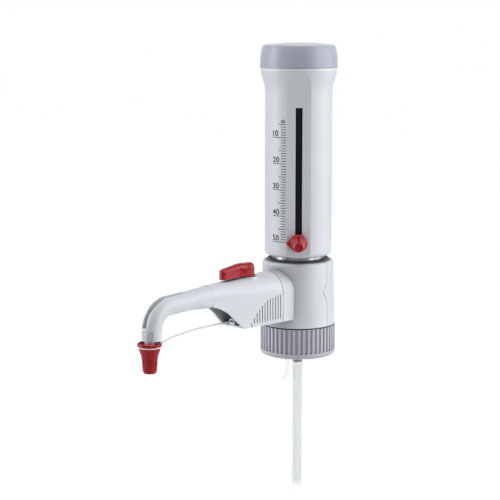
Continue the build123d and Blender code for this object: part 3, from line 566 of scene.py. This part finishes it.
# print on the housing, in mm and degrees
scale = {
    "radius": 25.15,      # the housing's outer wall
    "proud": 0.05,        # thickness of the print
    "sunk": 0.03,         # how far it reaches into the wall
    "rightAngle": 197.7,  # azimuth of the ticks' right ends
    "minorLength": 4.2,
    "fiveLength": 6.2,
    "tenLength": 12.0,
    "pitch": 1.943,       # height of one millilitre
    "topHeight": 157.2,   # height of the 5 mL line
    "firstVolume": 5,
    "lastVolume": 50,
    "figureStep": 10,
    "lineWidth": 0.48,
    "linePoints": 9,      # along a line, for its bend round the housing
    "figureLeft": 170.6,
    "figureStretch": 1.1,
    "figureHeight": 4.3,
    "figureRise": 0.85,   # foot of the figures over their line
    "unitLeft": 188.2,
    "unitStretch": 0.85,
    "unitHeight": 3.0,
    "unitRise": 0.9,
    "boldness": 0.022,    # of the letters, over their size
    "curvePoints": 6,     # to each curve of a letter
    "merge": 0.001,       # points closer than this are joined
}


def lengthByVolume(tree, volume, ask):
    # every fifth and tenth line is longer; volumes are whole, so what is left of them is 0, or 1 and more
    length = ask["Minor Length"]
    for every, longer in ((5, ask["Five Length"]), (10, ask["Ten Length"])):
        pick = tree.nodes.new("GeometryNodeSwitch")
        pick.input_type = "FLOAT"
        isLonger = mathNode(tree, "LESS_THAN", mathNode(tree, "MODULO", volume, every), 0.5)
        for value, socket in zip((isLonger, length, longer), pick.inputs):
            put(tree, value, socket)
        length = pick.outputs[0]
    return length


def wrappedPlace(tree, ask):
    # lays x along the housing's round, from the right end, and y out from under its wall
    place = separate(tree, tree.nodes.new("GeometryNodeInputPosition").outputs[0])
    reach = mathNode(tree, "SUBTRACT", ask["Radius"], ask["Sunk"])
    reach = mathNode(tree, "ADD", reach, place["Y"])
    turn = mathNode(tree, "DIVIDE", place["X"], ask["Radius"])
    angle = mathNode(tree, "SUBTRACT", ask["Right Angle"], turn)
    return combine(tree, mathNode(tree, "MULTIPLY", reach, mathNode(tree, "COSINE", angle)),
                   mathNode(tree, "MULTIPLY", reach, mathNode(tree, "SINE", angle)), place["Z"])


def makeTickTree():
    # a column of printed lines wrapped round a cylinder
    tree = bpy.data.node_groups.new("scaleTickTree", "GeometryNodeTree")
    tree.interface.new_socket("Geometry", in_out="OUTPUT", socket_type="NodeSocketGeometry")
    kinds = {
        "Int": ("Count", "First Volume", "Line Points"),
        "Float": ("Pitch", "Top Height", "Minor Length", "Five Length", "Ten Length", "Line Width",
                  "Radius", "Proud", "Sunk", "Right Angle"),
        "Material": ("Finish",),
    }
    for kind, labels in kinds.items():
        for label in labels:
            tree.interface.new_socket(label, in_out="INPUT", socket_type="NodeSocket" + kind)
    ask = tree.nodes.new("NodeGroupInput").outputs
    leave = tree.nodes.new("NodeGroupOutput")
    column = tree.nodes.new("GeometryNodeMeshLine")
    column.mode = "OFFSET"
    put(tree, ask["Count"], column.inputs["Count"])
    put(tree, combine(tree, 0, 0, ask["Top Height"]), column.inputs["Start Location"])
    down = mathNode(tree, "MULTIPLY", ask["Pitch"], -1)
    put(tree, combine(tree, 0, 0, down), column.inputs["Offset"])
    index = tree.nodes.new("GeometryNodeInputIndex").outputs[0]
    volume = mathNode(tree, "ADD", index, ask["First Volume"])
    # a unit bar that starts at x and y 0, then is scaled to its line
    bar = tree.nodes.new("GeometryNodeMeshCube")
    bar.inputs["Size"].default_value = (1, 1, 1)
    put(tree, ask["Line Points"], bar.inputs["Vertices X"])
    shift = tree.nodes.new("GeometryNodeTransform")
    shift.inputs["Translation"].default_value = (0.5, 0.5, 0)
    put(tree, bar.outputs["Mesh"], shift.inputs["Geometry"])
    place = tree.nodes.new("GeometryNodeInstanceOnPoints")
    put(tree, column.outputs["Mesh"], place.inputs["Points"])
    put(tree, shift.outputs[0], place.inputs["Instance"])
    thickness = mathNode(tree, "ADD", ask["Proud"], ask["Sunk"])
    size = combine(tree, lengthByVolume(tree, volume, ask), thickness, ask["Line Width"])
    put(tree, size, place.inputs["Scale"])
    whole = tree.nodes.new("GeometryNodeRealizeInstances")
    put(tree, place.outputs[0], whole.inputs[0])
    wrap = tree.nodes.new("GeometryNodeSetPosition")
    put(tree, whole.outputs[0], wrap.inputs["Geometry"])
    put(tree, wrappedPlace(tree, ask), wrap.inputs["Position"])
    finish = tree.nodes.new("GeometryNodeSetMaterial")
    put(tree, wrap.outputs[0], finish.inputs["Geometry"])
    put(tree, ask["Finish"], finish.inputs["Material"])
    put(tree, finish.outputs[0], leave.inputs[0])
    return tree


def evaluatedMesh(carrier):
    # keeps what a carrier's modifiers or letters make as a plain mesh
    bpy.context.collection.objects.link(carrier)
    depsgraph = bpy.context.evaluated_depsgraph_get()
    mesh = bpy.data.meshes.new_from_object(carrier.evaluated_get(depsgraph), depsgraph=depsgraph)
    bpy.data.objects.remove(carrier)
    return mesh


def growMesh(name, tree, material, **values):
    # runs a geometry tree once
    carrier = bpy.data.objects.new(name + "Carrier", bpy.data.meshes.new(name + "Carrier"))
    grow = carrier.modifiers.new("grow", "NODES")
    grow.node_group = tree
    sockets = {item.name: item.identifier for item in tree.interface.items_tree
               if item.item_type == "SOCKET" and item.in_out == "INPUT"}
    for label, value in values.items():
        grow[sockets[label.replace("_", " ")]] = value
    grow[sockets["Finish"]] = material
    return evaluatedMesh(carrier)


def makeTicks():
    mesh = growMesh(
        "scaleTicks", makeTickTree(), materials["ink"],
        Count=scale["lastVolume"] - scale["firstVolume"] + 1, First_Volume=scale["firstVolume"],
        Line_Points=scale["linePoints"], Pitch=scale["pitch"] * mm, Top_Height=scale["topHeight"] * mm,
        Minor_Length=scale["minorLength"] * mm, Five_Length=scale["fiveLength"] * mm,
        Ten_Length=scale["tenLength"] * mm, Line_Width=scale["lineWidth"] * mm,
        Radius=scale["radius"] * mm, Proud=scale["proud"] * mm, Sunk=scale["sunk"] * mm,
        Right_Angle=radians(scale["rightAngle"]))
    shape = bmesh.new()
    shape.from_mesh(mesh)
    closeShape(shape, scale["merge"])
    ticks = makePiece(shape, "scaleTicks", materials["ink"])
    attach(ticks, "plunger")


def wordMesh(text, stretch, height):
    # letters as a flat plate with its lower left corner at the origin
    curve = bpy.data.curves.new("word", "FONT")
    curve.body = text
    curve.size = 1
    curve.offset = scale["boldness"]
    curve.extrude = 0.5
    curve.resolution_u = scale["curvePoints"]
    mesh = evaluatedMesh(bpy.data.objects.new("word", curve))
    low = [min(v.co[axis] for v in mesh.vertices) for axis in range(2)]
    high = [max(v.co[axis] for v in mesh.vertices) for axis in range(2)]
    factor = height / (high[1] - low[1])
    for v in mesh.vertices:
        v.co.x = (v.co.x - low[0]) * factor * stretch
        v.co.y = (v.co.y - low[1]) * factor
    return mesh


def wrapWord(mesh, left, foot):
    # lays a word plate round the housing and turns its millimetres into metres
    for v in mesh.vertices:
        side = scale["proud"] if v.co.z > 0 else -scale["sunk"]
        angle = radians(left) + v.co.x / scale["radius"]
        reach = scale["radius"] + side
        v.co = Vector((reach * cos(angle), reach * sin(angle), foot + v.co.y)) * mm


def makeFigures():
    volumes = range(scale["figureStep"], scale["lastVolume"] + 1, scale["figureStep"])
    words = [(str(volume), "figure", volume) for volume in volumes]
    words.append(("ml", "unit", scale["firstVolume"]))
    shape = bmesh.new()
    for text, kind, volume in words:
        mesh = wordMesh(text, scale[kind + "Stretch"], scale[kind + "Height"])
        line = scale["topHeight"] - (volume - scale["firstVolume"]) * scale["pitch"]
        wrapWord(mesh, scale[kind + "Left"], line + scale[kind + "Rise"])
        shape.from_mesh(mesh)
        bpy.data.meshes.remove(mesh)
    closeShape(shape, scale["merge"])
    figures = makePiece(shape, "scaleFigures", materials["ink"])
    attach(figures, "plunger")


makeTicks()
makeFigures()
print("scale printed")

# lengths in mm; the lever points out along the arm
lever = {
    "axis": -58.0,         # x of the hub's centre
    "hubRadius": 4.9,
    "hubBase": 48.35,
    "hubTop": 58.3,
    "hubFall": 5.2,        # how far the hub's dome falls at its back
    "hubPower": 2.2,       # how late it falls
    "hubRounding": 3.9,
    "hubSteps": 12,        # to a half turn
    "hubSweep": 0.96,      # share of the half turn that is made
    "hubGap": 0.4,         # from the last hub station to the first on the grip, at least
    "lipRadius": 5.7,
    "lipTop": 49.6,
    "lipEdges": (0.3, 0.4),  # bevels at the lip's foot and top
    "lipSteps": 48,
    "gripBase": 48.95,
    "gripStart": 62.6,     # from here outwards the underside is raised
    "tip": 87.2,
    "tipSteps": 8,
    "tipPower": 0.7,       # how blunt the tip is from above
    "tipDrop": 0.2,
    "tipFall": 1.6,        # how far the back falls to the tip
    "tipFallPower": 1.5,
    "thinnest": 0.02,      # half width at the ends
    "cornerWidth": 3.4,    # of the back's rounding, at most
    "cornerSteps": 6,
    "shoulder": (1.0, 0.4),  # heights under the rounding where the flank starts and ends its turn
    "merge": 0.01,
    "crease": 45,          # degrees
    # distance out, half width of the flank and of the back, height of the back, height of its rounding
    "stations": ((62.3, 3.7, 4.4, 58.45, 3.9), (63.6, 3.05, 4.0, 58.65, 3.8), (65.6, 2.45, 3.7, 58.8, 3.6),
                 (67.8, 2.3, 3.5, 58.8, 3.4), (69.2, 2.7, 3.4, 58.75, 3.2), (70.3, 3.1, 3.3, 58.65, 3.0),
                 (73.0, 3.15, 3.25, 58.4, 2.8), (77.0, 3.1, 3.15, 57.85, 2.4), (81.0, 3.0, 3.05, 57.25, 2.1),
                 (84.6, 2.9, 2.95, 56.8, 1.9)),
}


def leverStations():
    # stations round the hub, along the grip and round the tip
    centre = -lever["axis"]
    hub = lever["hubRadius"]
    rows = []
    for step in range(lever["hubSteps"] + 1):
        turn = radians(180 - 180 * step / lever["hubSteps"] * lever["hubSweep"])
        out = centre + hub * cos(turn)
        if out > lever["stations"][0][0] - lever["hubGap"]:
            break
        half = max(hub * sin(turn), lever["thinnest"])
        fall = 1 - half / hub if out < centre else 0
        top = lever["hubTop"] - lever["hubFall"] * fall ** lever["hubPower"]
        rows.append((out, half, half, top, lever["hubRounding"]))
    rows += lever["stations"]
    last, lastHalf, _, lastTop, rounding = lever["stations"][-1]
    for step in range(1, lever["tipSteps"] + 1):
        turn = pi / 2 * step / lever["tipSteps"]
        half = max(lastHalf * cos(turn) ** lever["tipPower"], lever["thinnest"])
        fall = lever["tipFall"] * (1 - cos(turn)) ** lever["tipFallPower"]
        rows.append((last + (lever["tip"] - last) * sin(turn), half, half,
                     lastTop - lever["tipDrop"] - fall, rounding))
    return rows


def leverSection(flank, half, base, top, rounding):
    # upright flank, a turn inwards or outwards to the back's width, and a rounded edge
    corner = min(half, lever["cornerWidth"])
    start, end = (top - rounding - height for height in lever["shoulder"])
    points = [(flank, base), (flank, start), (between((flank, half), 0.5), end)]
    for step in range(lever["cornerSteps"] + 1):
        turn = pi / 2 * step / lever["cornerSteps"]
        points.append((half - corner * (1 - cos(turn)), top - rounding * (1 - sin(turn))))
    return points + [(-y, z) for y, z in reversed(points)]


def makeLever():
    # red lever: domed hub, waisted grip with a rounded back, flat flanks
    shape = bmesh.new()
    rings = []
    for out, flank, half, top, rounding in leverStations():
        base = lever["gripBase"] if out > lever["gripStart"] else lever["hubBase"]
        rings.append([shape.verts.new(Vector((-out, y, z)) * mm)
                      for y, z in leverSection(flank, half, base, top, rounding)])
    joinRings(shape, rings)
    radius, foot, top = lever["lipRadius"], lever["hubBase"], lever["lipTop"]
    footEdge, topEdge = lever["lipEdges"]
    lip = ((0, foot), (radius - footEdge, foot), (radius, foot + footEdge), (radius, top - topEdge),
           (radius - topEdge, top), (0, top))
    turnProfile(shape, lip, lever["lipSteps"], lever["axis"])
    closeShape(shape, lever["merge"])
    piece = makePiece(shape, "valveLever", materials["red"], lever["crease"])
    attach(piece, "lever")
    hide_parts("recirculation_lever")


makeLever()
print("lever shaped")

# filled corner where the trough's flanks run out on the round part; pairs are at its start and end
fairing = {
    "out": (103.5, 120.0),     # along the arm, mm
    "radius": (7.55, 7.09),    # of the round part
    "height": (39.52, 38.99),  # of its axis
    "square": (7.0, 2.0),      # power of the section below: 2 is round, more is squarer
    "round": 2.0,              # power of the section above
    "proud": 0.02,
    "steps": 18,
    "sides": 96,
    "crease": 60,
}


def makeFairing():
    # round above, and below running from upright flanks to round
    shape = bmesh.new()
    rings = []
    for step in range(fairing["steps"] + 1):
        share = step / fairing["steps"]
        soft = share * share * (3 - 2 * share)
        radius = between(fairing["radius"], share) + fairing["proud"]
        height = between(fairing["height"], share)
        ring = []
        for side in range(fairing["sides"]):
            turn = 2 * pi * side / fairing["sides"]
            power = fairing["round"] if sin(turn) >= 0 else between(fairing["square"], soft)
            reach = radius / (abs(cos(turn)) ** power + abs(sin(turn)) ** power) ** (1 / power)
            place = (-between(fairing["out"], share), reach * cos(turn), height + reach * sin(turn))
            ring.append(shape.verts.new(Vector(place) * mm))
        rings.append(ring)
    joinRings(shape, rings)
    closeShape(shape)
    # the fairing takes the arm's material, painted trough shade and all
    armMaterial = frame["nodes"]["arm_cover"].data.materials[0]
    piece = makePiece(shape, "armFairing", armMaterial, fairing["crease"])
    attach(piece, "valve_block")


makeFairing()
print("arm faired")

# clamping knob on the scale face: azimuth and height of its axis, profile as radius and distance, mm
knob = {
    "azimuth": 220.0,
    "height": 69.3,
    "profile": ((0, 20.25), (1.3, 20.25), (1.55, 20.5), (1.55, 25.95), (5.9, 25.95), (6.2, 26.25),
                (6.2, 26.7), (6.0, 27.0), (5.6, 27.1), (5.3, 27.6), (5.05, 29.5), (4.85, 32.0),
                (4.6, 35.4), (4.2, 40.0), (3.8, 44.0), (3.5, 46.1), (3.4, 46.6), (3.1, 46.92),
                (2.6, 46.8), (0, 46.7)),
    "steps": 64,
    "merge": 0.001,
    "crease": 50,
}


def makeKnob():
    # slender red knob whose foot carries a narrow rounded rim
    shape = bmesh.new()
    turnProfile(shape, knob["profile"], knob["steps"])
    turn = radians(knob["azimuth"])
    out, along = Vector((cos(turn), sin(turn), 0)), Vector((-sin(turn), cos(turn), 0))
    for v in shape.verts:
        v.co = along * v.co.x + Vector((0, 0, v.co.y + knob["height"] * mm)) + out * v.co.z
    closeShape(shape, knob["merge"])
    piece = makePiece(shape, "clampKnob", materials["red"], knob["crease"])
    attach(piece, "thumb_screw")
    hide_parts("thumb_screw")


makeKnob()
print("knob shaped")

rimHighlightBead = {"radius": 28.5, "height": 197.75, "thickness": 0.36, "sides": 8, "steps": 96, "crease": 60}


def makeRimBead():
    # painted highlight: a white bead on the housing's lip under the top cap, where the lip shows a highlight
    shape = bmesh.new()
    turns = [2 * pi * side / rimHighlightBead["sides"] for side in range(rimHighlightBead["sides"])]
    profile = [(rimHighlightBead["radius"] + rimHighlightBead["thickness"] * cos(turn),
                rimHighlightBead["height"] + rimHighlightBead["thickness"] * sin(turn)) for turn in turns]
    turnProfile(shape, profile, rimHighlightBead["steps"])
    closeShape(shape)
    piece = makePiece(shape, "housingRimHighlight", materials["white"], rimHighlightBead["crease"])
    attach(piece, "plunger")


makeRimBead()
print("rim bead laid")

thread = {
    "root": 21.7,         # inside the ring's plain bore
    "crest": 20.75,
    "pitch": 4.0,
    "turns": 2.4,
    "start": -3.4,        # height of the thread's upper end
    "rootWidth": 2.2,
    "crestWidth": 1.0,
    "steps": 48,          # per turn
    "fade": 0.12,         # share of the length over which the ends run out
    "thinnest": 0.02,     # share of the depth left at the ends
}


def makeThread():
    # female thread of the screw ring: a trapezoid swept down a helix
    shape = bmesh.new()
    count = int(thread["turns"] * thread["steps"])
    rings = []
    for step in range(count + 1):
        share = step / count
        swell = max(min(1, share / thread["fade"], (1 - share) / thread["fade"]), thread["thinnest"])
        crest = between((thread["root"], thread["crest"]), swell)
        angle = 2 * pi * step / thread["steps"]
        height = thread["start"] - thread["pitch"] * step / thread["steps"]
        corners = ((thread["root"], thread["rootWidth"] / 2), (crest, thread["crestWidth"] / 2),
                   (crest, -thread["crestWidth"] / 2), (thread["root"], -thread["rootWidth"] / 2))
        rings.append([shape.verts.new(Vector((r * cos(angle), r * sin(angle), height + z)) * mm)
                      for r, z in corners])
    joinRings(shape, rings)
    closeShape(shape)
    piece = makePiece(shape, "ringThread", materials["grey"])
    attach(piece, "bottle_ring")


makeThread()
print("ring thread cut")

studio = {
    "worldLevel": 0.02,      # what the white surroundings add to diffuse light
    "aimHeight": 0.08,       # where the lamps point, m
    "floorHeight": -130.0,   # mm
    "floorSize": 6.0,        # half its side, m
    "floorColor": (0.9, 0.9, 0.9, 1),
    "floorRough": 0.7,
    "floorGlow": 1.15,
    "floorShare": 0.85,      # of the glow, in what the camera sees
}
# soft boxes: energy, width, height, angle beside the camera, rise over the ground, distance
softBoxes = {
    "leftBox": (11.4, 0.5, 1.3, -85.0, 10.0, 1.2),
    "rightBox": (7.0, 0.5, 1.3, 60.0, 10.0, 1.2),
    "rightFarBox": (7.6, 0.65, 1.3, 92.0, 10.0, 1.2),
    "topBox": (7.6, 1.0, 1.0, 0.0, 80.0, 1.3),
}


def areaLight(name, energy, width, height, angle, rise, distance):
    data = bpy.data.lights.new(name, "AREA")
    data.shape = "RECTANGLE"
    data.size = width
    data.size_y = height
    data.energy = energy
    lamp = bpy.data.objects.new(name, data)
    bpy.context.collection.objects.link(lamp)
    turn = radians(camera["turn"] + angle)
    lift = radians(rise)
    away = Vector((sin(turn) * cos(lift), -cos(turn) * cos(lift), sin(lift)))
    lamp.location = Vector((0, 0, studio["aimHeight"])) + away * distance
    lamp.rotation_euler = away.to_track_quat("Z", "Y").to_euler()


def makeStudio():
    for name, setting in softBoxes.items():
        areaLight(name, *setting)
    world = bpy.data.worlds.new("studioWorld")
    bpy.context.scene.world = world
    world.use_nodes = True
    tree = world.node_tree
    background = tree.nodes["Background"]
    path = tree.nodes.new("ShaderNodeLightPath").outputs
    seen = mathNode(tree, "MAXIMUM", path["Is Camera Ray"], path["Is Glossy Ray"])
    seen = mathNode(tree, "MAXIMUM", seen, path["Is Transmission Ray"])
    level = mathNode(tree, "MULTIPLY", seen, 1 - studio["worldLevel"])
    level = mathNode(tree, "ADD", level, studio["worldLevel"])
    background.inputs["Color"].default_value = (1, 1, 1, 1)
    put(tree, level, background.inputs["Strength"])


def floorMaterial():
    # pale floor that glows a little towards the camera
    material = bpy.data.materials.new("paleFloor")
    material.use_nodes = True
    tree = material.node_tree
    shader = tree.nodes["Principled BSDF"]
    shader.inputs["Base Color"].default_value = studio["floorColor"]
    shader.inputs["Roughness"].default_value = studio["floorRough"]
    glow = tree.nodes.new("ShaderNodeEmission")
    glow.inputs["Strength"].default_value = studio["floorGlow"]
    path = tree.nodes.new("ShaderNodeLightPath")
    share = mathNode(tree, "MULTIPLY", path.outputs["Is Camera Ray"], studio["floorShare"])
    mix = tree.nodes.new("ShaderNodeMixShader")
    for value, socket in zip((share, shader.outputs[0], glow.outputs[0]), mix.inputs):
        put(tree, value, socket)
    put(tree, mix.outputs[0], tree.nodes["Material Output"].inputs["Surface"])
    return material


def makeFloor():
    shape = bmesh.new()
    bmesh.ops.create_grid(shape, x_segments=1, y_segments=1, size=studio["floorSize"])
    floor = makePiece(shape, "floor", floorMaterial())
    floor.location.z = studio["floorHeight"] * mm


makeStudio()
makeFloor()
bpy.context.scene.view_settings.view_transform = "Standard"
print("studio ready")
